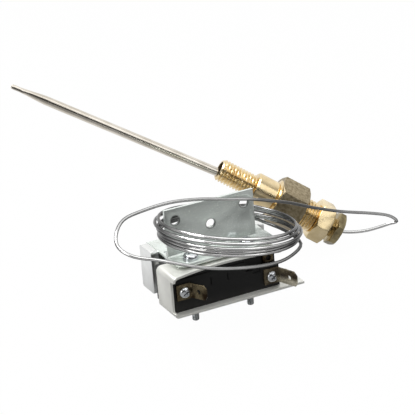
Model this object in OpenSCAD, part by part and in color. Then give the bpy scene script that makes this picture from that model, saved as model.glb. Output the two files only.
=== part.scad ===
// Capillary limit thermostat. A liquid-filled probe and capillary drive a diaphragm, and the diaphragm
// swings a lever that trips a snap-action switch block. The block is clamped in a bent steel channel.
// Layout: +X along the switch block, +Y away from its terminals, +Z up. Lengths are in millimetres.
// Sizes are laid out from the channel's lower left front corner, and seated() moves the whole model
// so that its origin lies midway between the two mounting holes, on the bracket's rear face.

/* [Chassis channel] */
// Length of the bottom plate
chassis_l = 59; // [56:1:66]
// Depth of the channel from front to back
chassis_d = 15.8; // [14.5:0.1:18]
// Overall height of the channel
chassis_h = 17.6; // [17:0.1:20]
// Sheet thickness of the channel
chassis_t = 1; // [0.8:0.1:1.2]
// Length of the top flange
top_flange_l = 49; // [46:1:52]
// Depth of the shallow curved relief in the top flange's front edge
flange_relief = 3.4; // [1:0.1:4]
// Depth of the straight relief in the web's front edge
web_relief = 2.6; // [1:0.1:2.6]
// Outer bend radius between web and top flange
chassis_bend_r = 2.2; // [1.6:0.1:3]

/* [Switch block] */
// Length of the moulded block
switch_l = 48; // [47:0.5:50]
// Depth of the moulded block
switch_d = 16.5; // [16.5:0.1:17.5]
// Set-back of the block's front face from the channel's front edge
switch_set_back = 3.3; // [2.6:0.1:3.6]
// Thickness of the moulded cover
cover_t = 1.75; // [1.2:0.05:2.2]
// Thickness of the moulded walls round the contact chamber
wall_t = 2; // [1.6:0.1:2.2]
// Depth of the step that holds the upper terminal
step_d = 3.2; // [2.4:0.1:3.6]
// Length of the step that holds the upper terminal
step_l = 15; // [12:0.5:18]

/* [Terminals] */
// Width of the push-on tab
tab_w = 6.35; // [4.8:0.05:6.4]
// Thickness of the terminal strip
tab_t = 0.8; // [0.6:0.05:0.9]
// Free length of the left tab
left_tab_l = 8; // [7:0.5:11]
// Free length of the right tab
right_tab_l = 10.5; // [8:0.5:12]
// Side length of the plate under a terminal screw
terminal_plate_w = 6.4; // [6:0.1:6.8]
// Height of the plate under a terminal screw
terminal_plate_h = 6.8; // [6.4:0.1:7.4]
// Head diameter of a terminal screw
terminal_head_d = 5.4; // [4.6:0.1:5.8]

/* [Clamp screws] */
// Distance of each clamp screw from its end of the block
clamp_inset = 11.3; // [11:0.1:11.7]
// Thread diameter of a clamp screw
clamp_d = 3; // [2.5:0.1:3.2]
// Head diameter of a clamp screw
clamp_head_d = 6.4; // [5.6:0.1:6.8]
// Head height of a clamp screw
clamp_head_h = 2; // [1.6:0.1:2.6]
// Length of screw that stands out below the channel
clamp_stand_out = 7.8; // [4:0.1:9]

/* [Mounting bracket] */
// Width of the bracket beyond each clamp screw
bracket_margin = 7.5; // [6.5:0.1:9]
// Height of the upright plate above the flange
bracket_h = 20.4; // [18:0.1:24]
// Depth of the flange under the clamp screws
bracket_flange_d = 12; // [11.5:0.1:13]
// Sheet thickness of the bracket
bracket_t = 1.2; // [1:0.1:1.5]
// Diameter of a mounting hole
mount_hole_d = 4; // [3.2:0.1:4.5]
// Distance of a mounting hole's centre from the plate's side edge
mount_inset = 4.6; // [4:0.1:7]
// Distance of the mounting holes from the plate's top edge
mount_drop = 5.2; // [4:0.1:7]

/* [Element frame] */
// Width of the frame that carries the diaphragm element
frame_w = 46; // [43:0.5:48]
// Distance of the frame's back wall from the channel's front edge
frame_back = 40; // [38:0.5:42]
// Sheet thickness of the frame
frame_t = 1; // [0.8:0.1:1.2]
// Depth of the pressed end covers
cover_d = 11.4; // [9:0.1:12]
// Diameter of the element's threaded neck
neck_d = 7; // [6:0.1:8]

/* [Lever] */
// Thickness of the transfer lever
lever_t = 1.6; // [1.2:0.1:2]
// Height of the transfer lever
lever_h = 8; // [6:0.1:9]
// Diameter of the lever's pivot pin
lever_pin_d = 2.4; // [2:0.1:3]

/* [Probe fitting] */
// Thread diameter of the front nipple
nipple_d = 10.4; // [10.2:0.1:11]
// Thread pitch of the front nipple
nipple_pitch = 1.5; // [1.25:0.05:1.6]
// Length of the threaded nipple
nipple_l = 17.5; // [14:0.5:20]
// Diameter of the round collar behind the nipple
collar_d = 14; // [12.4:0.1:15]
// Width across flats of the body hexagon
body_hex_af = 19.2; // [18:0.1:20.4]
// Length of the body hexagon
body_hex_l = 13.5; // [11:0.5:16]
// Thread diameter at the rear of the body
rear_thread_d = 13.8; // [12.8:0.1:14.2]
// Width across flats of the union nut
nut_af = 17.2; // [16.8:0.1:18.4]
// Width across flats of the gland screw
gland_af = 14.2; // [12.6:0.1:15]
// Bore through the nipple
nipple_bore = 7.3; // [7.2:0.1:7.6]

/* [Probe] */
// Diameter of the probe
probe_d = 4; // [3.6:0.1:4.4]
// Length of the probe ahead of the nipple
probe_l = 99.5; // [80:0.5:120]

/* [Capillary] */
// Diameter of the capillary tube
capillary_d = 1.4; // [1.2:0.1:1.6]

/* [Hidden] */
$fn = 48;

// Small clearances shared by the whole model
play = 0.1;
thread_play = 0.05;
through = 1;

// Stations of the stacked sheets above the channel
frame_top_z = chassis_h + frame_t;
flange_top_z = frame_top_z + bracket_t;

// Switch block: corner, seam height and the contact chamber
switch_x = chassis_t + 0.2;
switch_y = switch_set_back;
switch_back_y = switch_y + switch_d;
switch_z = chassis_t;
switch_h = chassis_h - 2 * chassis_t;
seam_z = switch_z + switch_h - cover_t;
clamp_offset = 0.8;
clamp_pitch = switch_l - 2 * clamp_inset;
clamp_x = switch_x + clamp_inset + clamp_offset;
clamp_y = 10.4;
clamp_xs = [clamp_x, clamp_x + clamp_pitch];
clamp_hole_d = clamp_d + 2 * play;
chamber_x = switch_x + wall_t + 1;
chamber_l = switch_l - 2 * (wall_t + 1);
chamber_y = clamp_y + clamp_hole_d / 2 + 0.6;
chamber_back_y = switch_back_y - wall_t;
step_z = seam_z - 4.45;
step_x = switch_x + switch_l - step_l;
case_chamfer = 0.35;
face_slots = [0.18, 0.48];

// Terminals: plate corners, screw centres and the blade's pivot
element_drop = 0.3;
contact_z = frame_top_z / 2 - element_drop;
left_plate_z = contact_z + 0.6;
left_plate_x = switch_x + 1.2;
left_screw_x = left_plate_x + 3.35;
right_plate_x = switch_x + switch_l - terminal_plate_w - 0.8;
right_screw_x = right_plate_x + 3.3;
right_plate_z = step_z - 4.4;
upper_plate_w = 4.8;
upper_plate_h = 3.9;
upper_plate_x = switch_x + switch_l - upper_plate_w - 1;
upper_plate_z = step_z + 2.4;
left_tab_angle = -62;
right_tab_angle = -70;
tab_hole_d = 1.9;
terminal_screw_d = 3.4;
terminal_screw_l = 6;
terminal_head_h = 1.7;
leg_h = 4;
upper_leg_h = 3;
blade_t = 0.3;
blade_h = 4;
contact_room = 2.3;
blade_y = chamber_back_y - contact_room;
blade_pivot_x = left_plate_x + terminal_plate_w - tab_t / 2;
contact_inset = 9.2;
contact_x = switch_x + switch_l - contact_inset;
contact_d = 2.4;
arm_t = 0.7;
no_arm_y = chamber_y + 0.1;
nc_arm_y = chamber_back_y - arm_t - play;
rivet_h = 0.5;

// Plunger and lever: the plunger pushes the blade, and the lever's screw pushes the plunger
plunger_share = 0.684;
plunger_x = blade_pivot_x + (contact_x - blade_pivot_x) * plunger_share;
plunger_d = 3.6;
plunger_head_d = 5;
plunger_front_y = blade_y + blade_t + play;
plunger_stand_out = 2.2;
plunger_back_y = switch_back_y + plunger_stand_out;
lever_y = plunger_back_y + 1.2;
lever_pin_x = switch_x + 7.8;
lever_pin_y = lever_y + lever_t / 2;
lever_end_x = contact_x + 4;
lever_eye_wall = 1.3;
lever_eye_d = lever_pin_d + 2 * lever_eye_wall;
calibration_d = 2.5;
calibration_head_d = 4.4;
spring_x = contact_x;
spring_d = 4.4;
spring_wire_d = 0.5;
spring_turns = 3;

// Element frame and diaphragm element
frame_x = 6.6;
frame_front_y = 8;
frame_floor_y = switch_back_y + 0.6;
cover_x = 3.2;
cover_t_sheet = 0.8;
cover_back_y = frame_back - 1;
cover_bend_r = 1.2;
button_offset = 6;
button_d = 3;
button_head_d = 6;
adjusting_hole_d = 5;
element_x = plunger_x - button_offset;
element_z = contact_z;
element_room = 1.3;
element_d = chassis_h - 2 * element_room;
element_back_y = frame_back - frame_t;
element_body_t = 2.5;
diaphragm_t = 0.6;
neck_l = 5.6;
neck_bore = capillary_d + 2 * play;
element_nut_af = 10;
element_nut_h = 3;

// Bracket: the upright plate rises from the rear edge of its flange
bracket_x = clamp_x - bracket_margin;
bracket_w = clamp_pitch + 2 * bracket_margin;
bracket_front_y = 5.2;
bracket_back_y = bracket_front_y + bracket_flange_d;
bracket_bend_r = 2;
bracket_corner_r = bracket_margin * 0.6;
bracket_top_z = flange_top_z + bracket_h;
mount_x = bracket_x + bracket_w / 2;
mount_z = bracket_top_z - mount_drop;
mount_xs = [bracket_x + mount_inset, bracket_x + bracket_w - mount_inset];
centre_hole_d = 4;
centre_hole_z = mount_z - 5.2;

// Fitting: stations along its axis, from the open end of the nipple
fitting_point = [59.7, 75.2, 27.5];
fitting_pitch = 34;
fitting_yaw = -23;
body_roll = -9.5;
nut_roll = 29;
gland_roll = 2.5;
collar_end = 27.5;
body_hex_s = 28.5;
rear_thread_s = body_hex_s + body_hex_l;
rear_thread_l = 12;
rear_end_s = rear_thread_s + rear_thread_l;
packing_s = rear_thread_s + 1.5;
packing_d = 8;
packing_l = 7.6;
nut_s = 49;
nut_l = 7.3;
nut_end_t = 1.3;
gland_neck_d = 9;
gland_s = 59;
gland_l = 3.5;
bulb_end_s = 33;
capillary_bore = capillary_d + 2 * play;

// Probe: it leans a little in the nipple's wide bore, about a point inside the collar
probe_lean = 4.6;
probe_lean_turn = 148;
probe_lean_s = 19;
probe_taper_l = 11;
probe_stub_l = 5.4;
probe_stub_d = 2.1;

// Capillary: the route leaves the element's neck, winds round the bracket and ends at the gland
turn_count = 5;
turn_points = 16;
turn_centre = [30.8, 10];
turn_radius = [27.6, 28, 30, 27.8, 28.2, 28.4];
turn_level = [33, 31.5, 29.3, 27, 25.6, 24.2];
turn_slope = [-0.17, -0.05];
turn_start = 48;
lead_points = [
    [24.5, 47, 9], [26, 49, 10], [31, 49.5, 13], [38, 47, 18], [44.5, 41, 23]
];
hairpin_points = [
    [56.5, 22.5, 19.5], [59.5, 12, 18.5], [59.5, 2, 17], [51, -6, 17], [40, -12, 18.5], [24, -17, 22.5], [6, -19, 28], [-12, -18, 35.5],
    [-21, -14, 38], [-24.5, -8, 40.5], [-23, -3, 44], [-17, 3, 46.5], [-7, 7, 46.5], [6, 9.5, 46],
    [20, 11, 43.5], [34, 12.5, 39.5], [43.5, 13.5, 37], [55, 18, 32], [67.5, 24, 26], [82, 31, 18],
    [99.5, 38, 9.5], [117, 42, 3], [127, 43, -1], [131.5, 43.5, -5], [128.5, 46, -6.5], [125, 47.5, -7.5],
    [119.5, 49.5, -8.5]
];

// The model's origin: midway between the mounting holes on the bracket's rear face
mount_point = [mount_x, bracket_back_y, mount_z];

module seated() translate(-mount_point) children();

// A bar's corner: a quarter ring that joins two straight legs of a bent sheet
module quarter_ring(r, t) {
    intersection() {
        difference() {
            circle(r = r);
            circle(r = r - t);
        }
        square(r + 1);
    }
}

// A profile drawn in X and Z, extruded backwards from y0 over the length l
module along_y(y0, l) translate([0, y0 + l, 0]) rotate([90, 0, 0]) linear_extrude(l) children();

// A profile drawn in Y and Z, extruded to the right from x0 over the length l
module along_x(x0, l) translate([x0, 0, 0]) rotate([90, 0, 90]) linear_extrude(l) children();

// A cylinder that runs backwards from y0
module pin_y(x, y0, z, d, l) translate([x, y0, z]) rotate([-90, 0, 0]) cylinder(d = d, h = l);

// A pan head with a cross recess, standing on z = 0
module pan_head(d, h, slot_w) {
    edge = h * 0.35;
    difference() {
        union() {
            cylinder(d = d, h = h - edge);
            translate([0, 0, h - edge]) cylinder(d1 = d, d2 = d - 2 * edge, h = edge);
        }
        for (a = [0, 90])
            rotate(a) translate([-d * 0.3, -slot_w / 2, h * 0.4]) cube([d * 0.6, slot_w, h]);
    }
}

// A hexagon with its corners turned down at both ends, standing on z = 0
module hexagon(af, h) {
    turned = 0.6;
    corner_d = af / cos(30);
    intersection() {
        cylinder(d = corner_d, h = h, $fn = 6);
        union() {
            cylinder(d1 = corner_d - 2 * turned, d2 = corner_d + 0.4, h = turned);
            translate([0, 0, turned]) cylinder(d = corner_d + 0.4, h = h - 2 * turned);
            translate([0, 0, h - turned]) cylinder(d1 = corner_d + 0.4, d2 = corner_d - 2 * turned, h = turned);
        }
    }
}

// Thread drawn as rings: a turned profile of crests and roots, l long from z = 0
module ringed_thread(d, pitch, l) {
    depth = pitch * 0.5;
    crest = pitch * 0.2;
    rings = floor((l - pitch) / pitch);
    run = [
        for (i = [0:rings - 1], k = [0:3])
            [d / 2 - (k == 0 || k == 3 ? depth : 0), pitch * (i + 0.5) + [0, (pitch - crest) / 2,
                (pitch + crest) / 2, pitch][k]]
    ];
    rotate_extrude()
        polygon(concat([[0, 0], [d / 2 - depth, 0]], run, [[d / 2 - depth, l], [0, l]]));
}

// Everything on the fitting's axis: +Z runs from the open end of the nipple back to the gland
module on_fitting(s = 0, roll = 0)
    translate(fitting_point) rotate([0, 90 + fitting_pitch, fitting_yaw]) translate([0, 0, s])
        rotate(roll) children();

// Smooth curve through points, and the tube swept along it
function curve_at(a, b, c, d, t) =
    0.5 * ((2 * b) + (c - a) * t + (2 * a - 5 * b + 4 * c - d) * t * t + (3 * b - a - 3 * c + d) * t * t * t);
function smooth(p, steps) = concat(
    [
        for (i = [0:len(p) - 2], k = [0:steps - 1])
            curve_at(p[max(i - 1, 0)], p[i], p[i + 1], p[min(i + 2, len(p) - 1)], k / steps)
    ],
    [p[len(p) - 1]]
);
function unit(v) = v / norm(v);
function across(v, n) = unit(v - (v * n) * n);
function headings(p) = [
    for (i = [0:len(p) - 1]) unit(p[min(i + 1, len(p) - 1)] - p[max(i - 1, 0)])
];
function carried(h, v, i = 0) =
    i == len(h) ? [] : let (w = across(v, h[i])) concat([w], carried(h, w, i + 1));

module swept_tube(p, d, sides) {
    h = headings(p);
    u = carried(h, abs(h[0].z) > 0.9 ? [1, 0, 0] : [0, 0, 1]);
    last = len(p) - 1;
    corners = [
        for (i = [0:last], k = [0:sides - 1])
            p[i] + d / 2 * (cos(360 * k / sides) * u[i] + sin(360 * k / sides) * cross(h[i], u[i]))
    ];
    sides_of_tube = [
        for (i = [0:last - 1], k = [0:sides - 1])
            [i * sides + k, (i + 1) * sides + k, (i + 1) * sides + (k + 1) % sides, i * sides + (k + 1) % sides]
    ];
    start_cap = [[for (k = [0:sides - 1]) k]];
    end_cap = [[for (k = [sides - 1:-1:0]) last * sides + k]];
    polyhedron(concat(corners), concat(sides_of_tube, start_cap, end_cap), convexity = 10);
}

// Turns of the capillary: radius and level pass smoothly from one turn to the next
function between(list, t) =
    let (i = min(floor(t), len(list) - 2)) list[i] + (list[i + 1] - list[i]) * (t - i);
function turn_point(t) =
    let (
        a = turn_start - 360 * t,
        r = between(turn_radius, t),
        x = r * cos(a),
        y = r * sin(a)
    )
    [turn_centre.x + x, turn_centre.y + y, between(turn_level, t) + turn_slope.x * x + turn_slope.y * y];
function turns() = [for (i = [0:turn_count * turn_points]) turn_point(i / turn_points)];

// Ends of the capillary: the neck's mouth, and the two stations inside the fitting
function fitting_place(s) =
    let (pitch = 90 + fitting_pitch)
    fitting_point + s * [
        sin(pitch) * cos(fitting_yaw), sin(pitch) * sin(fitting_yaw), cos(pitch)
    ];
capillary_route = concat(
    [[element_x, element_back_y, element_z], [element_x, element_back_y + 6, element_z]],
    lead_points,
    turns(),
    smooth(concat(hairpin_points, [fitting_place(gland_s + gland_l + 2.5), fitting_place(gland_s + gland_l)]), 2),
    [fitting_place(bulb_end_s + 1), fitting_place(bulb_end_s + 0.2)]
);

module chassis_channel() color([0.80, 0.80, 0.76]) seated() {
    top_z = chassis_h - chassis_t;
    low_r = chassis_t + 0.4;
    relief_w = top_flange_l - 2;
    relief_r = (relief_w * relief_w / 4 + flange_relief * flange_relief) / (2 * flange_relief);
    difference() {
        along_y(0, chassis_d) {
            translate([0, low_r]) square([chassis_t, chassis_h - low_r - chassis_bend_r]);
            translate([low_r, 0]) square([chassis_l - low_r, chassis_t]);
            translate([chassis_bend_r, top_z]) square([top_flange_l - chassis_bend_r, chassis_t]);
            translate([chassis_bend_r, chassis_h - chassis_bend_r])
                rotate(90) quarter_ring(chassis_bend_r, chassis_t);
            translate([low_r, low_r]) rotate(180) quarter_ring(low_r, chassis_t);
        }
        translate([1 + relief_w / 2, flange_relief - relief_r, top_z - 0.5])
            cylinder(r = relief_r, h = chassis_t + 1, $fn = 180);
        translate([-through, -through, low_r + 0.6])
            cube([chassis_t + through + play, web_relief + through, chassis_h - chassis_bend_r - low_r - 0.6]);
        for (x = clamp_xs) {
            translate([x, clamp_y, top_z - through]) cylinder(d = clamp_hole_d, h = chassis_t + 2 * through);
            translate([x, clamp_y, -through])
                cylinder(d = clamp_d + 2 * thread_play, h = chassis_t + 2 * through);
        }
    }
}

// Slots through the block for the terminals' legs, and holes for their screws
module terminal_passages() {
    translate([blade_pivot_x - tab_t / 2 - play, switch_y - through, contact_z - leg_h / 2 - play])
        cube([tab_t + 2 * play, chamber_y - switch_y + 2 * through, leg_h + 2 * play]);
    translate([right_plate_x - play, switch_y - through, right_plate_z - leg_h / 2 - play])
        cube([tab_t + 2 * play, chamber_y - switch_y + 2 * through, leg_h + 2 * play]);
    translate([upper_plate_x - play, switch_y - through, upper_plate_z - upper_leg_h / 2 - play])
        cube([tab_t + 2 * play, chamber_y - switch_y + 2 * through, upper_leg_h + 2 * play]);
    pin_y(left_screw_x, switch_y - through, left_plate_z, terminal_screw_d + 2 * thread_play,
        terminal_screw_l + through + 1);
    pin_y(right_screw_x, switch_y - through, right_plate_z, terminal_screw_d + 2 * thread_play,
        terminal_screw_l + through + 1);
}

module switch_case() color([0.07, 0.07, 0.07]) seated() {
    difference() {
        translate([switch_x, switch_y, switch_z]) cube([switch_l, switch_d, seam_z - switch_z]);
        translate([switch_x, switch_y - through, switch_z]) rotate([-90, 45, 0])
            translate([-case_chamfer, -case_chamfer, 0])
            cube([2 * case_chamfer, 2 * case_chamfer, switch_d + 2 * through]);
        translate([chamber_x, chamber_y, switch_z + wall_t])
            cube([chamber_l, chamber_back_y - chamber_y, switch_h]);
        translate([step_x, switch_y - through, step_z]) cube([step_l + through, step_d + through, switch_h]);
        translate([step_x + 3.2, switch_y - through, step_z - 1.6])
            cube([step_l - 3.2 - terminal_plate_w - 2, 0.8 + through, 1.7]);
        for (x = clamp_xs)
            translate([x, clamp_y, switch_z - through]) cylinder(d = clamp_hole_d, h = switch_h);
        terminal_passages();
        pin_y(plunger_x, chamber_back_y - through, contact_z, plunger_d + 2 * thread_play, wall_t + 2 * through);
        for (share = face_slots)
            translate([clamp_x + share * clamp_pitch, switch_y - through, switch_z + switch_h * 0.52])
                cube([0.6, 0.5 + through, switch_h * 0.22]);
    }
}

module switch_cover() color([0.09, 0.09, 0.09]) seated() {
    corner = chassis_bend_r - chassis_t;
    difference() {
        along_y(switch_y + 0.4, switch_d - 0.4) {
            translate([switch_x + corner, seam_z]) square([switch_l - corner, cover_t]);
            translate([switch_x, seam_z]) square([corner + play, cover_t - corner]);
            intersection() {
                translate([switch_x + corner, seam_z + cover_t - corner]) circle(r = corner);
                translate([switch_x, seam_z + cover_t - corner]) square(corner);
            }
        }
        translate([step_x, switch_y - through, seam_z - 0.5])
            cube([step_l + through, step_d + through, cover_t + 1]);
        for (x = clamp_xs)
            translate([x, clamp_y, seam_z - through]) cylinder(d = clamp_hole_d, h = cover_t + 2 * through);
    }
}

// Push-on tab that starts at the origin and runs along +X, centred on Z
module push_on_tab(l) {
    corner = 1.6;
    difference() {
        translate([0, tab_t / 2, 0]) rotate([90, 0, 0]) linear_extrude(tab_t)
            polygon([
                [0, -tab_w / 2], [l - corner / 2, -tab_w / 2], [l, -tab_w / 2 + corner],
                [l, tab_w / 2 - corner], [l - corner, tab_w / 2], [0, tab_w / 2]
            ]);
        translate([l - 4, -tab_t, 0]) rotate([-90, 0, 0]) cylinder(d = tab_hole_d, h = 2 * tab_t);
    }
    translate([0, 0, -tab_w / 2]) cylinder(d = tab_t, h = tab_w);
}

// Plate under a terminal screw, with its tab bent forward from its right edge
module terminal_plate(x, z, screw_x, l, angle) {
    difference() {
        translate([x, switch_y - tab_t, z - terminal_plate_h / 2])
            cube([terminal_plate_w, tab_t, terminal_plate_h]);
        pin_y(screw_x, switch_y - tab_t - through, z, terminal_screw_d + 2 * thread_play, tab_t + 2 * through);
    }
    translate([x + terminal_plate_w, switch_y - tab_t / 2, z]) rotate(angle) push_on_tab(l);
}

module terminal_left() color([0.60, 0.52, 0.32]) seated() {
    terminal_plate(left_plate_x, left_plate_z, left_screw_x, left_tab_l, left_tab_angle);
    translate([blade_pivot_x - tab_t / 2, switch_y - tab_t, contact_z - leg_h / 2])
        cube([tab_t, blade_y - play - switch_y + tab_t, leg_h]);
    translate([blade_pivot_x - tab_t / 2, blade_y - play - 0.5, contact_z - leg_h / 2])
        cube([tab_t + 0.8, 0.5, leg_h]);
}

module terminal_right() color([0.60, 0.52, 0.32]) seated() {
    low_z = right_plate_z - leg_h / 2;
    terminal_plate(right_plate_x, right_plate_z, right_screw_x, right_tab_l, right_tab_angle);
    translate([right_plate_x, switch_y - tab_t, low_z])
        cube([tab_t, no_arm_y + arm_t - switch_y + tab_t, leg_h]);
    translate([contact_x - 2, no_arm_y, low_z])
        cube([right_plate_x + tab_t - contact_x + 2, arm_t, contact_z + 1.6 - low_z]);
}

module terminal_upper() color([0.62, 0.48, 0.30]) seated() {
    plate_y = switch_y + step_d - tab_t;
    leg_z = upper_plate_z - upper_leg_h / 2;
    difference() {
        translate([upper_plate_x, plate_y, upper_plate_z - upper_plate_h / 2])
            cube([upper_plate_w, tab_t, upper_plate_h]);
        pin_y(upper_plate_x + upper_plate_w / 2 + 0.2, plate_y - through, upper_plate_z, 2.4, tab_t + 2 * through);
    }
    translate([upper_plate_x, plate_y, leg_z])
        cube([tab_t, nc_arm_y + arm_t - plate_y, upper_leg_h]);
    translate([contact_x - 2, nc_arm_y, contact_z - 1.6])
        cube([upper_plate_x + tab_t - contact_x + 2, arm_t, leg_z + upper_leg_h - contact_z + 1.6]);
}

module terminal_screws() color([0.80, 0.82, 0.86]) seated() {
    for (p = [[left_screw_x, left_plate_z], [right_screw_x, right_plate_z]]) {
        pin_y(p.x, switch_y - tab_t, p.y, terminal_screw_d, terminal_screw_l + tab_t);
        translate([p.x, switch_y - tab_t, p.y]) rotate([90, 30, 0])
            pan_head(terminal_head_d, terminal_head_h, 0.9);
    }
}

module fixed_contacts() color([0.85, 0.85, 0.82]) seated() {
    pin_y(contact_x, no_arm_y + arm_t, contact_z, contact_d, rivet_h);
    pin_y(contact_x, nc_arm_y - rivet_h, contact_z, contact_d, rivet_h);
}

module snap_blade() color([0.75, 0.60, 0.35]) seated() {
    blade_x = blade_pivot_x - tab_t / 2;
    blade_l = contact_x - blade_x;
    difference() {
        translate([blade_x, blade_y, contact_z - blade_h / 2])
            cube([contact_x + 1.6 - blade_x, blade_t, blade_h]);
        translate([blade_x + blade_l * 0.22, blade_y - through, contact_z - 0.7])
            cube([blade_l * 0.38, blade_t + 2 * through, 1.4]);
        pin_y(contact_x, blade_y - through, contact_z, 1.2, blade_t + 2 * through);
    }
}

module moving_contact() color([0.85, 0.85, 0.82]) seated() {
    pad = 0.6;
    pin_y(contact_x, blade_y - pad, contact_z, contact_d, pad);
    pin_y(contact_x, blade_y, contact_z, 1.2, blade_t);
    pin_y(contact_x, blade_y + blade_t, contact_z, contact_d, pad);
}

module plunger() color([0.65, 0.12, 0.10]) seated() {
    head_l = chamber_back_y - play - plunger_front_y;
    pin_y(plunger_x, plunger_front_y, contact_z, plunger_head_d, head_l);
    pin_y(plunger_x, plunger_front_y, contact_z, plunger_d, plunger_back_y - plunger_front_y);
}

module mounting_bracket() color([0.55, 0.60, 0.57]) seated() {
    inner_z = flange_top_z - bracket_t;
    difference() {
        along_x(bracket_x, bracket_w) {
            translate([bracket_front_y, inner_z]) square([bracket_flange_d - bracket_bend_r, bracket_t]);
            translate([bracket_back_y - bracket_bend_r, inner_z + bracket_bend_r])
                rotate(-90) quarter_ring(bracket_bend_r, bracket_t);
            translate([bracket_back_y - bracket_t, inner_z + bracket_bend_r])
                square([bracket_t, bracket_h + bracket_t - bracket_bend_r]);
        }
        for (x = clamp_xs)
            translate([x, clamp_y, inner_z - through]) cylinder(d = clamp_hole_d, h = bracket_t + 2 * through);
        for (x = mount_xs)
            pin_y(x, bracket_back_y - bracket_t - through, mount_z, mount_hole_d, bracket_t + 2 * through);
        pin_y(mount_x, bracket_back_y - bracket_t - through, centre_hole_z, centre_hole_d,
            bracket_t + 2 * through);
        bracket_corner(bracket_x, 1, inner_z);
        bracket_corner(bracket_x + bracket_w, -1, inner_z);
    }
}

// Waste outside a rounded front corner of the bracket's flange; side is 1 at the left and -1 at the right
module bracket_corner(x, side, z) {
    difference() {
        translate([min(x, x + side * bracket_corner_r) - (side > 0 ? through : 0), bracket_front_y - through,
            z - through])
            cube([bracket_corner_r + through, bracket_corner_r + through, bracket_t + 2 * through]);
        translate([x + side * bracket_corner_r, bracket_front_y + bracket_corner_r, z - 2 * through])
            cylinder(r = bracket_corner_r, h = bracket_t + 4 * through);
    }
}

module clamp_screws() color([0.72, 0.74, 0.74]) seated() {
    for (x = clamp_xs) {
        translate([x, clamp_y, -clamp_stand_out]) cylinder(d = clamp_d, h = clamp_stand_out + flange_top_z);
        translate([x, clamp_y, flange_top_z]) pan_head(clamp_head_d, clamp_head_h, 1.1);
    }
}

module element_frame() color([0.62, 0.68, 0.65]) seated() {
    bend_r = frame_t + 0.8;
    difference() {
        along_x(frame_x, frame_w) {
            translate([frame_front_y, chassis_h]) square([frame_back - bend_r - frame_front_y, frame_t]);
            translate([frame_back - bend_r, frame_top_z - bend_r]) quarter_ring(bend_r, frame_t);
            translate([frame_back - frame_t, bend_r]) square([frame_t, frame_top_z - 2 * bend_r]);
            translate([frame_back - bend_r, bend_r]) rotate(-90) quarter_ring(bend_r, frame_t);
            translate([frame_floor_y, 0]) square([frame_back - bend_r - frame_floor_y, frame_t]);
        }
        for (x = clamp_xs)
            translate([x, clamp_y, chassis_h - through]) cylinder(d = clamp_hole_d, h = frame_t + 2 * through);
        for (z = [0, chassis_h])
            translate([lever_pin_x, lever_pin_y, z - through])
                cylinder(d = lever_pin_d + 2 * thread_play, h = frame_t + 2 * through);
        pin_y(element_x, element_back_y - through, element_z, neck_d + 2 * thread_play, frame_t + 2 * through);
        pin_y(plunger_x + button_offset, element_back_y - through, element_z, adjusting_hole_d,
            frame_t + 2 * through);
    }
}

// Pressed end cover: a plate with a shallow rim turned inwards; side is 1 at the left and -1 at the right
module end_cover(x, side, rim) {
    low_z = -0.4;
    height = frame_top_z - 0.2 - low_z;
    front_y = cover_back_y - cover_d;
    difference() {
        translate([side > 0 ? x : x - rim, front_y, low_z]) cube([rim, cover_d, height]);
        translate([side > 0 ? x + cover_t_sheet : x - rim - through, front_y + cover_t_sheet,
            low_z + cover_t_sheet])
            cube([rim - cover_t_sheet + through, cover_d - 2 * cover_t_sheet, height - 2 * cover_t_sheet]);
        for (y = [front_y, cover_back_y], z = [low_z, low_z + height])
            cover_edge(x, y, z, y == front_y ? 1 : -1, z == low_z ? 1 : -1, rim);
    }
}

// Waste outside one rounded long edge of an end cover
module cover_edge(x, y, z, dy, dz, rim) {
    difference() {
        translate([x - rim - through, min(y, y + dy * cover_bend_r) - (dy > 0 ? through : 0),
            min(z, z + dz * cover_bend_r) - (dz > 0 ? through : 0)])
            cube([2 * (rim + through), cover_bend_r + through, cover_bend_r + through]);
        translate([x - rim - 2 * through, y + dy * cover_bend_r, z + dz * cover_bend_r])
            rotate([0, 90, 0]) cylinder(r = cover_bend_r, h = 2 * (rim + 2 * through));
    }
}

module end_cover_left() color([0.82, 0.84, 0.83]) seated() end_cover(cover_x, 1, frame_x - cover_x);

module end_cover_right() color([0.82, 0.84, 0.83]) seated()
    end_cover(frame_x + frame_w + frame_x - cover_x, -1, frame_x - cover_x);

module lever() color([0.66, 0.68, 0.70]) seated() {
    low_z = element_z - lever_h / 2;
    difference() {
        union() {
            translate([lever_pin_x, lever_y, low_z]) cube([lever_end_x - lever_pin_x, lever_t, lever_h]);
            translate([lever_pin_x, lever_pin_y, low_z]) cylinder(d = lever_eye_d, h = lever_h);
        }
        translate([lever_pin_x, lever_pin_y, low_z - through])
            cylinder(d = lever_pin_d + 2 * thread_play, h = lever_h + 2 * through);
        pin_y(plunger_x, lever_y - through, contact_z, calibration_d + 2 * thread_play, lever_t + 2 * through);
    }
}

module lever_pin() color([0.75, 0.76, 0.78]) seated()
    translate([lever_pin_x, lever_pin_y, 0]) cylinder(d = lever_pin_d, h = frame_top_z - 0.2);

module calibration_screw() color([0.70, 0.60, 0.35]) seated() {
    tip_y = plunger_back_y + play;
    head_y = lever_y + lever_t;
    pin_y(plunger_x, tip_y, contact_z, calibration_d, head_y - tip_y);
    translate([plunger_x, head_y, contact_z]) rotate([-90, 0, 0]) difference() {
        cylinder(d = calibration_head_d, h = 1.6);
        translate([-calibration_head_d, -0.4, 0.8]) cube([2 * calibration_head_d, 0.8, 2]);
    }
}

module return_spring() color([0.70, 0.72, 0.74]) seated() {
    room = lever_y - switch_back_y - 2 * play - spring_wire_d;
    steps = 12;
    coil = [
        for (i = [0:spring_turns * steps])
            let (a = 360 * i / steps)
            [
                spring_x + (spring_d - spring_wire_d) / 2 * cos(a),
                switch_back_y + play + spring_wire_d / 2 + room * i / (spring_turns * steps),
                element_z + (spring_d - spring_wire_d) / 2 * sin(a)
            ]
    ];
    swept_tube(coil, spring_wire_d, 6);
}

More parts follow.
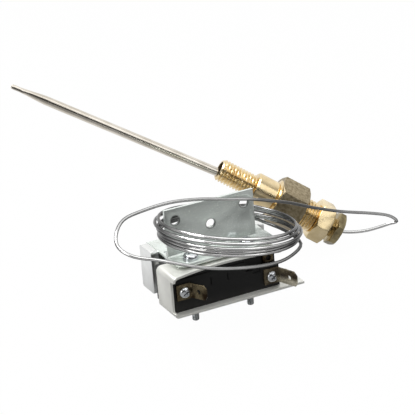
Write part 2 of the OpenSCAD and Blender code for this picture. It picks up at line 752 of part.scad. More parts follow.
module thrust_button() color([0.88, 0.86, 0.80]) seated() {
    front_y = lever_y + lever_t + play;
    back_y = element_back_y - element_body_t - diaphragm_t - play;
    pin_y(element_x, front_y, element_z, button_d, back_y - front_y);
    pin_y(element_x, back_y - 1.2, element_z, button_head_d, 1.2);
}

module diaphragm() color([0.80, 0.80, 0.78]) seated() {
    ring = 1.6;
    t = 0.25;
    rings = 3;
    wave = [for (i = [0:rings * 2]) [2 + i * ring / 2, i % 2 == 0 ? 0 : 0.3]];
    back = [for (i = [len(wave) - 1:-1:0]) [wave[i].x, wave[i].y + t]];
    edge = element_d / 2;
    translate([element_x, element_back_y - element_body_t - diaphragm_t, element_z]) rotate([-90, 0, 0])
        rotate_extrude()
            polygon(concat([[0, 0]], wave, [[edge, 0], [edge, diaphragm_t], [edge - 0.4, diaphragm_t],
                [edge - 0.4, t]], back, [[0, t]]));
}

module element_body() color([0.78, 0.76, 0.72]) seated() {
    r = element_d / 2;
    translate([element_x, element_back_y - element_body_t, element_z]) rotate([-90, 0, 0]) difference() {
        rotate_extrude()
            polygon([
                [0, 0.4], [r - 1, 0.4], [r - 0.5, 0], [r, 0], [r, 1], [neck_d / 2 + 1, element_body_t],
                [neck_d / 2, element_body_t], [neck_d / 2, element_body_t + neck_l],
                [neck_d / 2 - 0.6, element_body_t + neck_l + 0.6], [0, element_body_t + neck_l + 0.6]
            ]);
        translate([0, 0, element_body_t]) cylinder(d = neck_bore, h = neck_l + through);
    }
}

module element_nut() color([0.72, 0.62, 0.36]) seated()
    translate([element_x, frame_back, element_z]) rotate([-90, 0, 0]) difference() {
        hexagon(element_nut_af, element_nut_h);
        translate([0, 0, -through]) cylinder(d = neck_d + 2 * thread_play, h = element_nut_h + 2 * through);
    }

module capillary_tube() color([0.78, 0.78, 0.80]) seated() swept_tube(capillary_route, capillary_d, 8);

module fitting_body() color([0.80, 0.64, 0.34]) seated() on_fitting(0, body_roll) {
    neck_d1 = collar_d - 1;
    difference() {
        union() {
            ringed_thread(nipple_d, nipple_pitch, nipple_l);
            translate([0, 0, nipple_l]) cylinder(d = collar_d, h = collar_end - nipple_l);
            translate([0, 0, collar_end])
                cylinder(d1 = neck_d1, d2 = body_hex_af - 1, h = body_hex_s - collar_end);
            translate([0, 0, body_hex_s]) hexagon(body_hex_af, body_hex_l);
            translate([0, 0, rear_thread_s]) ringed_thread(rear_thread_d, nipple_pitch, rear_thread_l);
        }
        translate([0, 0, -through]) cylinder(d = nipple_bore, h = bulb_end_s + 3 + through);
        translate([0, 0, bulb_end_s]) cylinder(d = capillary_bore + 1, h = rear_end_s - bulb_end_s + through);
        translate([0, 0, packing_s]) cylinder(d = packing_d, h = rear_end_s - packing_s + through);
    }
}

module union_nut() color([0.84, 0.70, 0.40]) seated() on_fitting(nut_s, nut_roll) {
    difference() {
        hexagon(nut_af, nut_l);
        translate([0, 0, -through])
            cylinder(d = rear_thread_d + 2 * thread_play, h = nut_l - nut_end_t + through);
        cylinder(d = gland_neck_d + 2 * thread_play, h = nut_l + through);
    }
}

module gland_screw() color([0.76, 0.60, 0.30]) seated() on_fitting(gland_s, gland_roll) {
    neck_l2 = gland_s - rear_thread_s - rear_thread_l - play;
    tip_l = rear_thread_s + rear_thread_l - packing_s - packing_l - play;
    difference() {
        union() {
            translate([0, 0, -neck_l2]) cylinder(d = gland_neck_d, h = neck_l2);
            translate([0, 0, -neck_l2 - tip_l])
                cylinder(d = packing_d - 2 * play, h = tip_l + play);
            hexagon(gland_af, gland_l);
        }
        translate([0, 0, -neck_l2 - tip_l - through])
            cylinder(d = capillary_bore, h = neck_l2 + tip_l + gland_l + 2 * through);
    }
}

module packing_ring() color([0.20, 0.20, 0.20]) seated() on_fitting(packing_s) difference() {
    cylinder(d = packing_d - 2 * play, h = packing_l - play);
    translate([0, 0, -through]) cylinder(d = capillary_bore, h = packing_l + 2 * through);
}

module probe_bulb() color([0.66, 0.62, 0.54]) seated()
    on_fitting(probe_lean_s, probe_lean_turn) rotate([0, probe_lean, 0]) {
        r = probe_d / 2;
        front = probe_lean_s + probe_l;
        rear = bulb_end_s - probe_lean_s;
        rotate_extrude()
            polygon([
                [0, -front], [probe_stub_d / 2 - 0.3, -front], [probe_stub_d / 2, -front + 0.5],
                [probe_stub_d / 2 - 0.15, -front + probe_stub_l * 0.6],
                [probe_stub_d / 2, -front + probe_stub_l],
                [r - 0.35, -front + probe_stub_l + probe_taper_l * 0.55],
                [r, -front + probe_stub_l + probe_taper_l],
                [r, rear - 2], [0.9, rear], [0, rear]
            ]);
    }

chassis_channel();
switch_case();
switch_cover();
terminal_left();
terminal_right();
terminal_upper();
terminal_screws();
fixed_contacts();
snap_blade();
moving_contact();
plunger();
mounting_bracket();
clamp_screws();
element_frame();
end_cover_left();
end_cover_right();
lever();
lever_pin();
calibration_screw();
return_spring();
thrust_button();
diaphragm();
element_body();
element_nut();
capillary_tube();
fitting_body();
union_nut();
gland_screw();
packing_ring();
probe_bulb();
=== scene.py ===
import math

import bpy
from mathutils import Matrix, Vector


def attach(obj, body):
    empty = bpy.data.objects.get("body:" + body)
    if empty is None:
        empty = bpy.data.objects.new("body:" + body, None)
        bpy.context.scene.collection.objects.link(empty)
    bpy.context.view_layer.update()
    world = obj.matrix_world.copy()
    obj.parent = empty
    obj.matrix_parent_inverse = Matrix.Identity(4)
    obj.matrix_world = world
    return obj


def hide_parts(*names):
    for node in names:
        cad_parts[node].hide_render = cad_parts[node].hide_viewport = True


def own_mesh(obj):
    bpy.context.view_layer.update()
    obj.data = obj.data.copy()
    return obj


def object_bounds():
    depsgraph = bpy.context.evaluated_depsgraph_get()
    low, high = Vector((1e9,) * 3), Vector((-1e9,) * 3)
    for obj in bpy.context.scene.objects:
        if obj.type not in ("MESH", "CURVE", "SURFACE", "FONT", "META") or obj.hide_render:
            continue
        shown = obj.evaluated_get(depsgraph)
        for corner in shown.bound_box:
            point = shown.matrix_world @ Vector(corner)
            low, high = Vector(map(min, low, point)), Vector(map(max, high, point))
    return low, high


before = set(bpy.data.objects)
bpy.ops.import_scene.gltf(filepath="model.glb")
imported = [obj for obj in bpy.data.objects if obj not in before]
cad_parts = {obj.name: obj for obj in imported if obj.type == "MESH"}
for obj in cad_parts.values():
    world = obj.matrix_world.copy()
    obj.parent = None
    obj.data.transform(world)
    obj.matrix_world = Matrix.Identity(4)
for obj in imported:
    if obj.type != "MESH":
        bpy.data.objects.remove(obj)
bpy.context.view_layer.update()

bpy.context.scene.view_settings.view_transform = "Standard"


# Camera. The photograph was taken from the front left, a little above the part, with a long lens
# and the camera rolled slightly.
camera_place = Vector((-0.26669, -0.57683, 0.25624))
camera_turn, camera_tilt, camera_roll = math.radians(24.79), math.radians(21.85), math.radians(-4.66)
camera_forward = Vector(
    (
        math.sin(camera_turn) * math.cos(camera_tilt),
        math.cos(camera_turn) * math.cos(camera_tilt),
        -math.sin(camera_tilt),
    )
)
camera_level = Vector((math.cos(camera_turn), -math.sin(camera_turn), 0))
camera_rise = camera_level.cross(camera_forward)
camera_right = math.cos(camera_roll) * camera_level + math.sin(camera_roll) * camera_rise
camera_up = -math.sin(camera_roll) * camera_level + math.cos(camera_roll) * camera_rise
camera_data = bpy.data.cameras.new("camera")
camera_data.sensor_fit = "HORIZONTAL"
camera_data.sensor_width = 36
camera_data.lens = 1684 / 415 * 36
camera_data.clip_start, camera_data.clip_end = 0.01, 20
camera = bpy.data.objects.new("camera", camera_data)
bpy.context.collection.objects.link(camera)
camera.matrix_world = Matrix.Translation(camera_place) @ Matrix(
    (camera_right, camera_up, -camera_forward)
).transposed().to_4x4()
bpy.context.scene.camera = camera


# Capillary tube. Bright drawn stainless tube, 1.4 mm across, filled with the sensing liquid. It
# leaves the diaphragm's neck, is wound by hand round the bracket, reaches out in one wide loop and
# a hairpin, and enters the gland screw of the brass fitting.
tube_d = 0.0014
mount_corner = Vector((26.0, 17.2, 35.0))
neck_route = [(24, 41, 9), (24, 45, 9), (24.5, 47, 9), (26, 49, 10), (31, 49.5, 13), (38, 47, 18), (44.5, 41, 23)]
turn_centre = (30.8, 10)
turn_radius = [27.6, 28, 30, 27.8, 28.2, 28.4]
turn_level = [33, 31.5, 29.3, 27, 25.6, 24.2]
turn_slope = (-0.17, -0.05)
turn_start = 48
loop_route = [
    (56.5, 22.5, 19.5), (59.5, 12, 18.5), (59.5, 2, 17), (51, -6, 17), (40, -12, 18.5), (24, -17, 22.5),
    (6, -19, 28), (-12, -18, 35.5), (-21, -14, 38), (-24.5, -8, 40.5), (-23, -3, 44), (-17, 3, 46.5),
    (-7, 7, 46.5), (6, 9.5, 46), (20, 11, 43.5), (34, 12.5, 39.5), (43.5, 13.5, 37), (55, 18, 32),
    (67.5, 24, 26), (82, 31, 18), (99.5, 38, 9.5), (117, 42, 3), (127, 43, -1), (131.5, 43.5, -5),
    (128.5, 46, -6.5), (125, 47.3, -7.4), (120, 49.2, -8.4), (115.5, 51.2, -8.8), (111.5, 53.1, -8.6),
    (109, 54.2, -8.1), (107.4, 54.96, -7.45),
]


def turn_place(t):
    angle = math.radians(turn_start - 360 * t)
    i = min(int(t), len(turn_level) - 2)
    reach = turn_radius[i] + (turn_radius[i + 1] - turn_radius[i]) * (t - i)
    level = turn_level[i] + (turn_level[i + 1] - turn_level[i]) * (t - i)
    pressed = 0.5 + 0.5 * math.cos(angle - math.radians(22))
    level += (29.2 - level) * 0.42 * pressed
    x, y = reach * math.cos(angle), reach * math.sin(angle)
    return (turn_centre[0] + x, turn_centre[1] + y, level + turn_slope[0] * x + turn_slope[1] * y)


def smooth_route(points, steps):
    points = [Vector(p) for p in points]
    out = []
    for i in range(len(points) - 1):
        a, b = points[max(i - 1, 0)], points[i]
        c, d = points[i + 1], points[min(i + 2, len(points) - 1)]
        for k in range(steps):
            t = k / steps
            out.append(
                0.5
                * (
                    2 * b
                    + (c - a) * t
                    + (2 * a - 5 * b + 4 * c - d) * t * t
                    + (3 * b - a - 3 * c + d) * t ** 3
                )
            )
    return out + [points[-1]]


tube_route = smooth_route(neck_route + [turn_place(i / 16) for i in range(81)] + loop_route, 4)
tube_route = [(p - mount_corner) / 1000 for p in tube_route]
tube_curve = bpy.data.curves.new("capillary", "CURVE")
tube_curve.dimensions = "3D"
tube_curve.bevel_depth = tube_d / 2
tube_curve.bevel_resolution = 3
tube_curve.use_fill_caps = True
tube_spline = tube_curve.splines.new("POLY")
tube_spline.points.add(len(tube_route) - 1)
for point, place in zip(tube_spline.points, tube_route):
    point.co = (*place, 1)
tube_spline.use_smooth = True
capillary = bpy.data.objects.new("capillary", tube_curve)
bpy.context.collection.objects.link(capillary)


def worked_metal(name, light, dark, rough, patch=300, grain=2500, along=(1, 1, 1), turn=(0, 0, 0), relief=0.15,
                 spread=0.08):
    """A bare or plated metal: two tones in soft patches, and fine marks drawn out along one direction."""
    material = bpy.data.materials.new(name)
    material.use_nodes = True
    nodes, links = material.node_tree.nodes, material.node_tree.links
    shader = nodes["Principled BSDF"]
    shader.inputs["Metallic"].default_value = 1.0
    place = nodes.new("ShaderNodeTexCoord")
    patches = nodes.new("ShaderNodeTexNoise")
    patches.inputs["Scale"].default_value = patch
    patches.inputs["Detail"].default_value = 4
    links.new(place.outputs["Object"], patches.inputs["Vector"])
    tone = nodes.new("ShaderNodeValToRGB")
    tone.color_ramp.elements[0].position, tone.color_ramp.elements[1].position = 0.35, 0.65
    tone.color_ramp.elements[0].color = (*dark, 1)
    tone.color_ramp.elements[1].color = (*light, 1)
    links.new(patches.outputs["Fac"], tone.inputs["Fac"])
    links.new(tone.outputs["Color"], shader.inputs["Base Color"])
    stretch = nodes.new("ShaderNodeMapping")
    stretch.inputs["Rotation"].default_value = turn
    stretch.inputs["Scale"].default_value = along
    links.new(place.outputs["Object"], stretch.inputs["Vector"])
    marks = nodes.new("ShaderNodeTexNoise")
    marks.inputs["Scale"].default_value = grain
    marks.inputs["Detail"].default_value = 3
    links.new(stretch.outputs["Vector"], marks.inputs["Vector"])
    finish = nodes.new("ShaderNodeMapRange")
    finish.inputs["To Min"].default_value = max(rough - spread, 0.03)
    finish.inputs["To Max"].default_value = rough + spread
    links.new(marks.outputs["Fac"], finish.inputs["Value"])
    links.new(finish.outputs["Result"], shader.inputs["Roughness"])
    bump = nodes.new("ShaderNodeBump")
    bump.inputs["Strength"].default_value = relief
    bump.inputs["Distance"].default_value = 0.00004
    links.new(marks.outputs["Fac"], bump.inputs["Height"])
    links.new(bump.outputs["Normal"], shader.inputs["Normal"])
    return material


bright_tube = worked_metal("bright_tube", (1.0, 1.0, 0.99), (0.88, 0.88, 0.87), 0.1, patch=200, grain=900,
                           spread=0.04)
# The tube's colour is scaled down towards its edges as seen from the camera, down to 0.08 at the rim, as a painted
# dark reflection.
tube_nodes, tube_links = bright_tube.node_tree.nodes, bright_tube.node_tree.links
tube_face = tube_nodes.new("ShaderNodeLayerWeight")
tube_face.inputs["Blend"].default_value = 0.5
tube_edge_painted_dark = tube_nodes.new("ShaderNodeMapRange")
tube_edge_painted_dark.inputs["From Min"].default_value, tube_edge_painted_dark.inputs["From Max"].default_value = 0.25, 0.5
tube_edge_painted_dark.inputs["To Min"].default_value, tube_edge_painted_dark.inputs["To Max"].default_value = 1.0, 0.08
tube_links.new(tube_face.outputs["Facing"], tube_edge_painted_dark.inputs["Value"])
tube_painted_shade_tone = tube_nodes.new("ShaderNodeVectorMath")
tube_painted_shade_tone.operation = "SCALE"
tube_shader = tube_nodes["Principled BSDF"]
tube_links.new(tube_shader.inputs["Base Color"].links[0].from_socket, tube_painted_shade_tone.inputs["Vector"])
tube_shader.inputs["Metallic"].default_value = 0.8
tube_shader.inputs["Specular IOR Level"].default_value = 0.5
# Painted shade: on the wound turns, the side that faces the coil's axis is darkened to 0.28 of the tube's colour.
tube_spot = tube_nodes.new("ShaderNodeTexCoord")
tube_reach = tube_nodes.new("ShaderNodeVectorMath")
tube_reach.operation = "SUBTRACT"
tube_reach.inputs[1].default_value = (0.0048, -0.0072, 0)
tube_links.new(tube_spot.outputs["Object"], tube_reach.inputs[0])
tube_flat = tube_nodes.new("ShaderNodeVectorMath")
tube_flat.operation = "MULTIPLY"
tube_flat.inputs[1].default_value = (1, 1, 0)
tube_links.new(tube_reach.outputs["Vector"], tube_flat.inputs[0])
tube_away = tube_nodes.new("ShaderNodeVectorMath")
tube_away.operation = "NORMALIZE"
tube_links.new(tube_flat.outputs["Vector"], tube_away.inputs[0])
tube_side = tube_nodes.new("ShaderNodeVectorMath")
tube_side.operation = "DOT_PRODUCT"
tube_skin = tube_nodes.new("ShaderNodeNewGeometry")
tube_links.new(tube_away.outputs["Vector"], tube_side.inputs[0])
tube_links.new(tube_skin.outputs["Normal"], tube_side.inputs[1])
tube_inner_shade_mask = tube_nodes.new("ShaderNodeMapRange")
tube_inner_shade_mask.interpolation_type = "SMOOTHSTEP"
tube_inner_shade_mask.inputs["From Min"].default_value, tube_inner_shade_mask.inputs["From Max"].default_value = 0.25, -0.3
tube_links.new(tube_side.outputs["Value"], tube_inner_shade_mask.inputs["Value"])
tube_length_out = tube_nodes.new("ShaderNodeVectorMath")
tube_length_out.operation = "LENGTH"
tube_links.new(tube_flat.outputs["Vector"], tube_length_out.inputs[0])
tube_wound = tube_nodes.new("ShaderNodeMapRange")
tube_wound.inputs["From Min"].default_value, tube_wound.inputs["From Max"].default_value = 0.035, 0.032
tube_links.new(tube_length_out.outputs["Value"], tube_wound.inputs["Value"])
tube_height = tube_nodes.new("ShaderNodeVectorMath")
tube_height.operation = "DOT_PRODUCT"
tube_height.inputs[1].default_value = (0.17, 0.05, 1)
tube_links.new(tube_spot.outputs["Object"], tube_height.inputs[0])
tube_low = tube_nodes.new("ShaderNodeMapRange")
tube_low.inputs["From Min"].default_value, tube_low.inputs["From Max"].default_value = -0.0004, -0.0014
tube_links.new(tube_height.outputs["Value"], tube_low.inputs["Value"])
tube_coil = tube_nodes.new("ShaderNodeMath")
tube_coil.operation = "MULTIPLY"
tube_links.new(tube_wound.outputs["Result"], tube_coil.inputs[0])
tube_links.new(tube_low.outputs["Result"], tube_coil.inputs[1])
tube_painted_inner_shade = tube_nodes.new("ShaderNodeMath")
tube_painted_inner_shade.operation = "MULTIPLY"
tube_links.new(tube_inner_shade_mask.outputs["Result"], tube_painted_inner_shade.inputs[0])
tube_links.new(tube_coil.outputs[0], tube_painted_inner_shade.inputs[1])
tube_inner_shade_dim = tube_nodes.new("ShaderNodeMapRange")
tube_inner_shade_dim.inputs["To Min"].default_value, tube_inner_shade_dim.inputs["To Max"].default_value = 1.0, 0.28
tube_links.new(tube_painted_inner_shade.outputs[0], tube_inner_shade_dim.inputs["Value"])
tube_shade_scale = tube_nodes.new("ShaderNodeMath")
tube_shade_scale.operation = "MULTIPLY"
tube_links.new(tube_edge_painted_dark.outputs["Result"], tube_shade_scale.inputs[0])
tube_links.new(tube_inner_shade_dim.outputs["Result"], tube_shade_scale.inputs[1])
tube_links.new(tube_shade_scale.outputs[0], tube_painted_shade_tone.inputs["Scale"])
tube_links.new(tube_painted_shade_tone.outputs["Vector"], tube_shader.inputs["Base Color"])
capillary.data.materials.append(bright_tube)
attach(capillary, "body")
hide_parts("capillary_tube")


def finish_node(node, material):
    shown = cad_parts[node]
    shown.data.materials.clear()
    shown.data.materials.append(material)


def softened(node, name, width, material, body="body", segments=2, angle=25):
    """A copy of a CAD sheet or moulding with its edges rounded as a press or a mould leaves them."""
    bpy.ops.object.select_all(action="DESELECT")
    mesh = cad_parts[node].data.copy()
    piece = bpy.data.objects.new(name, mesh)
    bpy.context.collection.objects.link(piece)
    bpy.context.view_layer.objects.active = piece
    piece.select_set(True)
    bpy.ops.object.mode_set(mode="EDIT")
    bpy.ops.mesh.select_all(action="SELECT")
    bpy.ops.mesh.remove_doubles(threshold=0.000002)
    bpy.ops.mesh.dissolve_limited(angle_limit=math.radians(0.6))
    bpy.ops.object.mode_set(mode="OBJECT")
    edge = piece.modifiers.new("edges", "BEVEL")
    edge.width = width
    edge.segments = segments
    edge.limit_method = "ANGLE"
    edge.angle_limit = math.radians(angle)
    edge.use_clamp_overlap = True
    bpy.ops.object.modifier_apply(modifier="edges")
    bpy.ops.object.shade_smooth_by_angle(angle=math.radians(35))
    piece.data.materials.clear()
    piece.data.materials.append(material)
    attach(piece, body)
    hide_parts(node)
    return piece


# Chassis channel. Bent from one millimetre steel strip, zinc plated and then dulled to an off-white.
# The switch block is clamped inside it.
channel_steel = worked_metal("channel_steel", (0.92, 0.92, 0.865), (0.83, 0.83, 0.785), 0.40, patch=120, grain=1500,
                             along=(1, 0.12, 1))
channel_steel.node_tree.nodes["Principled BSDF"].inputs["Metallic"].default_value = 0.45
softened("chassis_channel", "channel", 0.00018, channel_steel)


# Mounting bracket. Zinc plated steel angle with two mounting holes at the top corners and one on
# the centre line, held down by the two clamp screws.
bracket_zinc = worked_metal("bracket_zinc", (0.86, 0.915, 0.875), (0.76, 0.81, 0.775), 0.25, patch=110, grain=2500,
                            relief=0.25)
bracket_zinc.node_tree.nodes["Principled BSDF"].inputs["Metallic"].default_value = 0.65
zinc_nodes, zinc_links = bracket_zinc.node_tree.nodes, bracket_zinc.node_tree.links
# Painted shade at the three holes: the zinc colour falls to 0.3 on the hole walls and fades back over a thin ring
# round each hole.
zinc_spot = zinc_nodes.new("ShaderNodeTexCoord")
zinc_flat = zinc_nodes.new("ShaderNodeVectorMath")
zinc_flat.operation = "MULTIPLY"
zinc_flat.inputs[1].default_value = (1, 0, 1)
zinc_links.new(zinc_spot.outputs["Object"], zinc_flat.inputs[0])
nearest = None
for hole in [(-0.0156, 0, 0), (0.0156, 0, 0), (0, 0, -0.0052)]:
    to_hole = zinc_nodes.new("ShaderNodeVectorMath")
    to_hole.operation = "DISTANCE"
    to_hole.inputs[1].default_value = hole
    zinc_links.new(zinc_flat.outputs["Vector"], to_hole.inputs[0])
    if nearest is None:
        nearest = to_hole.outputs["Value"]
    else:
        nearer = zinc_nodes.new("ShaderNodeMath")
        nearer.operation = "MINIMUM"
        zinc_links.new(nearest, nearer.inputs[0])
        zinc_links.new(to_hole.outputs["Value"], nearer.inputs[1])
        nearest = nearer.outputs[0]
rim = zinc_nodes.new("ShaderNodeMapRange")
rim.inputs["From Min"].default_value, rim.inputs["From Max"].default_value = 0.0021, 0.0025
rim.inputs["To Min"].default_value, rim.inputs["To Max"].default_value = 0.3, 1.0
zinc_links.new(nearest, rim.inputs["Value"])
hole_shaded_colour = zinc_nodes.new("ShaderNodeVectorMath")
hole_shaded_colour.operation = "SCALE"
zinc_shader = zinc_nodes["Principled BSDF"]
zinc_links.new(zinc_shader.inputs["Base Color"].links[0].from_socket, hole_shaded_colour.inputs["Vector"])
zinc_links.new(rim.outputs["Result"], hole_shaded_colour.inputs["Scale"])
zinc_links.new(hole_shaded_colour.outputs["Vector"], zinc_shader.inputs["Base Color"])
softened("mounting_bracket", "bracket", 0.00015, bracket_zinc)


# Element frame and its two pressed end covers. The frame is a zinc plated steel channel behind the
# switch block, and carries the diaphragm element on its back wall.
softened("element_frame", "rear_frame", 0.00015, bracket_zinc)
cover_steel = worked_metal("cover_steel", (0.92, 0.93, 0.92), (0.83, 0.84, 0.83), 0.34, patch=150, grain=1500)
softened("end_cover_left", "left_cover", 0.00025, cover_steel, segments=3)
softened("end_cover_right", "right_cover", 0.00025, cover_steel, segments=3)


# Switch block. Case and cover are compression moulded black phenolic with a satin surface.
def moulded(name, light, dark, rough, grain=1200):
    material = bpy.data.materials.new(name)
    material.use_nodes = True
    nodes, links = material.node_tree.nodes, material.node_tree.links
    shader = nodes["Principled BSDF"]
    place = nodes.new("ShaderNodeTexCoord")
    cloud = nodes.new("ShaderNodeTexNoise")
    cloud.inputs["Scale"].default_value = grain
    cloud.inputs["Detail"].default_value = 5
    links.new(place.outputs["Object"], cloud.inputs["Vector"])
    tone = nodes.new("ShaderNodeValToRGB")
    tone.color_ramp.elements[0].color = (*dark, 1)
    tone.color_ramp.elements[1].color = (*light, 1)
    links.new(cloud.outputs["Fac"], tone.inputs["Fac"])
    links.new(tone.outputs["Color"], shader.inputs["Base Color"])
    finish = nodes.new("ShaderNodeMapRange")
    finish.inputs["To Min"].default_value = rough - 0.08
    finish.inputs["To Max"].default_value = rough + 0.08
    links.new(cloud.outputs["Fac"], finish.inputs["Value"])
    links.new(finish.outputs["Result"], shader.inputs["Roughness"])
    bump = nodes.new("ShaderNodeBump")
    bump.inputs["Strength"].default_value = 0.15
    bump.inputs["Distance"].default_value = 0.00005
    links.new(cloud.outputs["Fac"], bump.inputs["Height"])
    links.new(bump.outputs["Normal"], shader.inputs["Normal"])
    return material


black_moulding = moulded("black_moulding", (0.012, 0.012, 0.0115), (0.006, 0.006, 0.006), 0.42)
black_moulding.node_tree.nodes["Principled BSDF"].inputs["Specular IOR Level"].default_value = 0.3
softened("switch_case", "block_case", 0.0002, black_moulding)
softened("switch_cover", "block_cover", 0.0002, black_moulding)


# Terminals. Stamped brass strip with push-on tabs bent forward, coloured a tarnished brown in darker and
# lighter patches all over. The right tab is painted paler towards its foot, as a painted reflection.
terminal_brass = worked_metal("terminal_brass", (0.25, 0.205, 0.125), (0.035, 0.022, 0.012), 0.26, patch=200, grain=2000)
softened("terminal_left", "left_terminal", 0.0001, terminal_brass)
tab_brass_painted_reflection = terminal_brass.copy()
tab_brass_painted_reflection.name = "tab_brass_painted_reflection"
# Painted reflection: the right tab is mixed towards a pale brass colour near its foot and outer end.
tab_nodes, tab_links = tab_brass_painted_reflection.node_tree.nodes, tab_brass_painted_reflection.node_tree.links
tab_spot = tab_nodes.new("ShaderNodeTexCoord")
tab_axes = tab_nodes.new("ShaderNodeSeparateXYZ")
tab_links.new(tab_spot.outputs["Object"], tab_axes.inputs["Vector"])
tab_reflection_foot = tab_nodes.new("ShaderNodeMapRange")
tab_reflection_foot.interpolation_type = "SMOOTHSTEP"
tab_reflection_foot.inputs["From Min"].default_value, tab_reflection_foot.inputs["From Max"].default_value = -0.0284, -0.0312
tab_links.new(tab_axes.outputs["Z"], tab_reflection_foot.inputs["Value"])
tab_reflection_out = tab_nodes.new("ShaderNodeMapRange")
tab_reflection_out.inputs["From Min"].default_value, tab_reflection_out.inputs["From Max"].default_value = 0.0215, 0.025
tab_links.new(tab_axes.outputs["X"], tab_reflection_out.inputs["Value"])
tab_reflection_share = tab_nodes.new("ShaderNodeMath")
tab_reflection_share.operation = "MULTIPLY"
tab_links.new(tab_reflection_foot.outputs["Result"], tab_reflection_share.inputs[0])
tab_links.new(tab_reflection_out.outputs["Result"], tab_reflection_share.inputs[1])
tab_reflection_mix = tab_nodes.new("ShaderNodeMix")
tab_reflection_mix.data_type = "RGBA"
tab_reflection_mix.inputs["B"].default_value = (0.95, 0.88, 0.70, 1)
tab_shader = tab_nodes["Principled BSDF"]
tab_links.new(tab_reflection_share.outputs[0], tab_reflection_mix.inputs["Factor"])
tab_links.new(tab_shader.inputs["Base Color"].links[0].from_socket, tab_reflection_mix.inputs["A"])
tab_links.new(tab_reflection_mix.outputs["Result"], tab_shader.inputs["Base Color"])
tab_shader.inputs["Metallic"].default_value = 0.5
softened("terminal_right", "right_terminal", 0.0001, tab_brass_painted_reflection)
softened("terminal_upper", "upper_terminal", 0.0001, terminal_brass)


# Screws. Zinc plated steel, pan heads.
screw_zinc = worked_metal("screw_zinc", (0.84, 0.86, 0.88), (0.62, 0.64, 0.67), 0.16, patch=420, grain=2500)


def turned(name, outline, sides=72):
    """A lathe-turned solid along +Z: its outline is a list of radius and station, from end to end."""
    bpy.ops.object.select_all(action="DESELECT")
    radius, station = outline[0]
    bpy.ops.mesh.primitive_circle_add(vertices=sides, radius=radius, fill_type="NGON", location=(0, 0, station))
    piece = bpy.context.object
    piece.name = name
    bpy.ops.object.transform_apply(location=True)
    bpy.ops.object.mode_set(mode="EDIT")
    bpy.ops.mesh.select_all(action="SELECT")
    for wide, far in outline[1:]:
        bpy.ops.mesh.extrude_region_move(TRANSFORM_OT_translate={"value": (0, 0, far - station)})
        bpy.ops.transform.resize(value=(wide / radius, wide / radius, 1), center_override=(0, 0, far))
        radius, station = wide, far
    bpy.ops.mesh.select_all(action="SELECT")
    bpy.ops.mesh.normals_make_consistent(inside=False)
    bpy.ops.object.mode_set(mode="OBJECT")
    return piece


def threaded(name, diameter, length, bore=0, bore_depth=0, pitch=0.0015, sides=72):
    """A rod along +Z with a helical thread cut in it, chamfered ends and, where it has one, a bore."""
    bpy.ops.object.select_all(action="DESELECT")
    bpy.ops.mesh.primitive_cylinder_add(vertices=sides, radius=diameter / 2, depth=length, location=(0, 0, length / 2))
    piece = bpy.context.object
    piece.name = name
    bpy.ops.object.transform_apply(location=True)
    if bore:
        bpy.ops.object.mode_set(mode="EDIT")
        bpy.ops.mesh.select_all(action="DESELECT")
        bpy.ops.object.mode_set(mode="OBJECT")
        for face in piece.data.polygons:
            face.select = face.normal.z < -0.9
        bpy.ops.object.mode_set(mode="EDIT")
        bpy.ops.mesh.select_mode(type="FACE")
        bpy.ops.mesh.inset(thickness=diameter / 2 - bore / 2)
        bpy.ops.mesh.extrude_region_move(TRANSFORM_OT_translate={"value": (0, 0, bore_depth)})
        bpy.ops.object.mode_set(mode="OBJECT")
    bpy.ops.object.mode_set(mode="EDIT")
    bpy.ops.mesh.select_mode(type="EDGE")
    bpy.ops.mesh.select_all(action="DESELECT")
    bpy.ops.object.mode_set(mode="OBJECT")
    verts = piece.data.vertices
    for edge in piece.data.edges:
        a, b = (verts[i].co for i in edge.vertices)
        edge.select = abs(a.z - b.z) > length * 0.9 and a.xy.length > diameter * 0.45
    bpy.ops.object.mode_set(mode="EDIT")
    bpy.ops.mesh.subdivide(number_cuts=int(length / pitch * 9))
    bpy.ops.object.mode_set(mode="OBJECT")
    for vertex in piece.data.vertices:
        flat = vertex.co.xy
        if flat.length < diameter * 0.45:
            continue
        turns = vertex.co.z / pitch - math.atan2(flat.y, flat.x) / math.tau
        wave = abs((turns % 1) - 0.5) * 2
        cut_depth = 0.55 * pitch * min(max(wave * 1.35 - 0.2, 0), 1)
        end = min(vertex.co.z, length - vertex.co.z)
        reach = min(diameter / 2 - cut_depth, diameter / 2 - 0.6 * pitch + end * 0.9)
        vertex.co.xy = flat.normalized() * reach
    return piece


def pan_head(name, head, height, shank, seat):
    """A domed pan head with a cross recess, standing on z = 0, and the plain shank under it."""
    piece = turned(
        name,
        [
            (shank / 2, -seat), (shank / 2, 0), (head * 0.485, 0), (head * 0.5, height * 0.08),
            (head * 0.5, height * 0.35), (head * 0.475, height * 0.55), (head * 0.42, height * 0.75),
            (head * 0.33, height * 0.9), (head * 0.2, height * 0.98), (head * 0.04, height),
        ],
        48,
    )
    for turn in (0, 90):
        bpy.ops.object.select_all(action="DESELECT")
        bpy.ops.mesh.primitive_cube_add(size=1, location=(0, 0, height * 0.75))
        driver = bpy.context.object
        driver.scale = (head * 0.56, head * 0.15, height * 0.8)
        driver.rotation_euler = (0, 0, math.radians(turn + 30))
        bpy.ops.object.transform_apply(location=True, rotation=True, scale=True)
        for vertex in driver.data.vertices:
            if vertex.co.z < height * 0.5:
                vertex.co.xy = vertex.co.xy * 0.55
        recess = piece.modifiers.new("recess", "BOOLEAN")
        recess.operation, recess.object, recess.solver = "DIFFERENCE", driver, "EXACT"
        bpy.ops.object.select_all(action="DESELECT")
        bpy.context.view_layer.objects.active = piece
        piece.select_set(True)
        bpy.ops.object.modifier_apply(modifier="recess")
        bpy.data.objects.remove(driver)
    return piece


